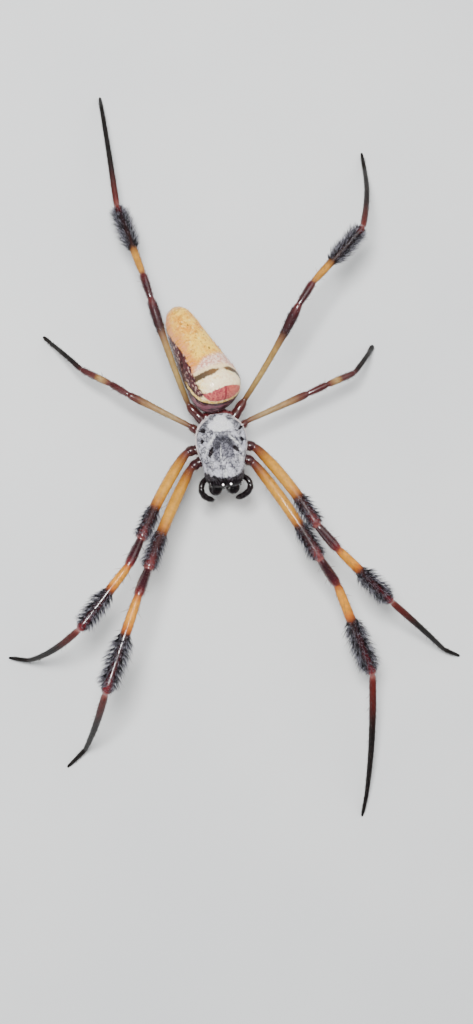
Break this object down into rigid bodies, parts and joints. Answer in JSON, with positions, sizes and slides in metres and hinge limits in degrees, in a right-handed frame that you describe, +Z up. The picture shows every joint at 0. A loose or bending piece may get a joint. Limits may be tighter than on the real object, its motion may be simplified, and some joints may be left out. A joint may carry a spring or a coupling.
{
  "type": "golden silk orb-weaver spider model",
  "caption": "Still life-size model of an adult female golden silk orb-weaver standing with legs spread, long gold abdomen swung to one side.",
  "frame": {"origin": "centre of the model's bounding box, on the floor that the feet stand on", "axes": "-Y ahead of the head, +Y towards the tail of the abdomen, +X the spider's left side, +Z up"},
  "size_m": [0.0638, 0.1041, 0.0189],
  "materials": {
    "silver_hair": "fine silver hair over dark shell",
    "black_shell": "glossy",
    "maroon_shell": "glossy",
    "yellow_shell": "satin",
    "olive_shell": "satin",
    "brush_hair": "stiff dark hair",
    "foot_shell": "satin",
    "abdomen_skin": "soft sheen, fine hair",
    "eye_lens": "mirror-like"
  },
  "bodies": {
    "root": {"carapace": "silver_hair", "sternum": "maroon_shell", "maxillae": "maroon_shell", "palp_l": "black_shell", "chelicera_l": "black_shell", "fang_l": "black_shell", "eye_back_middle_l": "eye_lens", "eye_front_side_l": "eye_lens", "eye_back_side_l": "eye_lens", "eye_front_middle_l": "eye_lens", "palp_r": "black_shell", "chelicera_r": "black_shell", "fang_r": "black_shell", "eye_back_middle_r": "eye_lens", "eye_front_side_r": "eye_lens", "eye_back_side_r": "eye_lens", "eye_front_middle_r": "eye_lens", "abdomen": "abdomen_skin", "spinnerets": "maroon_shell", "pedicel": "maroon_shell", "coxa_l1": "maroon_shell", "femur_l1": "yellow_shell", "patella_l1": "maroon_shell", "tibia_l1": "brush_hair", "foot_l1": "foot_shell", "coxa_l2": "maroon_shell", "femur_l2": "yellow_shell", "patella_l2": "maroon_shell", "tibia_l2": "brush_hair", "foot_l2": "foot_shell", "coxa_l3": "maroon_shell", "femur_l3": "olive_shell", "patella_l3": "maroon_shell", "tibia_l3": "olive_shell", "foot_l3": "foot_shell", "coxa_l4": "maroon_shell", "femur_l4": "olive_shell", "patella_l4": "maroon_shell", "tibia_l4": "brush_hair", "foot_l4": "foot_shell", "coxa_r1": "maroon_shell", "femur_r1": "yellow_shell", "patella_r1": "maroon_shell", "tibia_r1": "brush_hair", "foot_r1": "foot_shell", "coxa_r2": "maroon_shell", "femur_r2": "yellow_shell", "patella_r2": "maroon_shell", "tibia_r2": "brush_hair", "foot_r2": "foot_shell", "coxa_r3": "maroon_shell", "femur_r3": "olive_shell", "patella_r3": "maroon_shell", "tibia_r3": "olive_shell", "foot_r3": "foot_shell", "coxa_r4": "maroon_shell", "femur_r4": "olive_shell", "patella_r4": "maroon_shell", "tibia_r4": "brush_hair", "foot_r4": "foot_shell"}
  },
  "joints": []
}
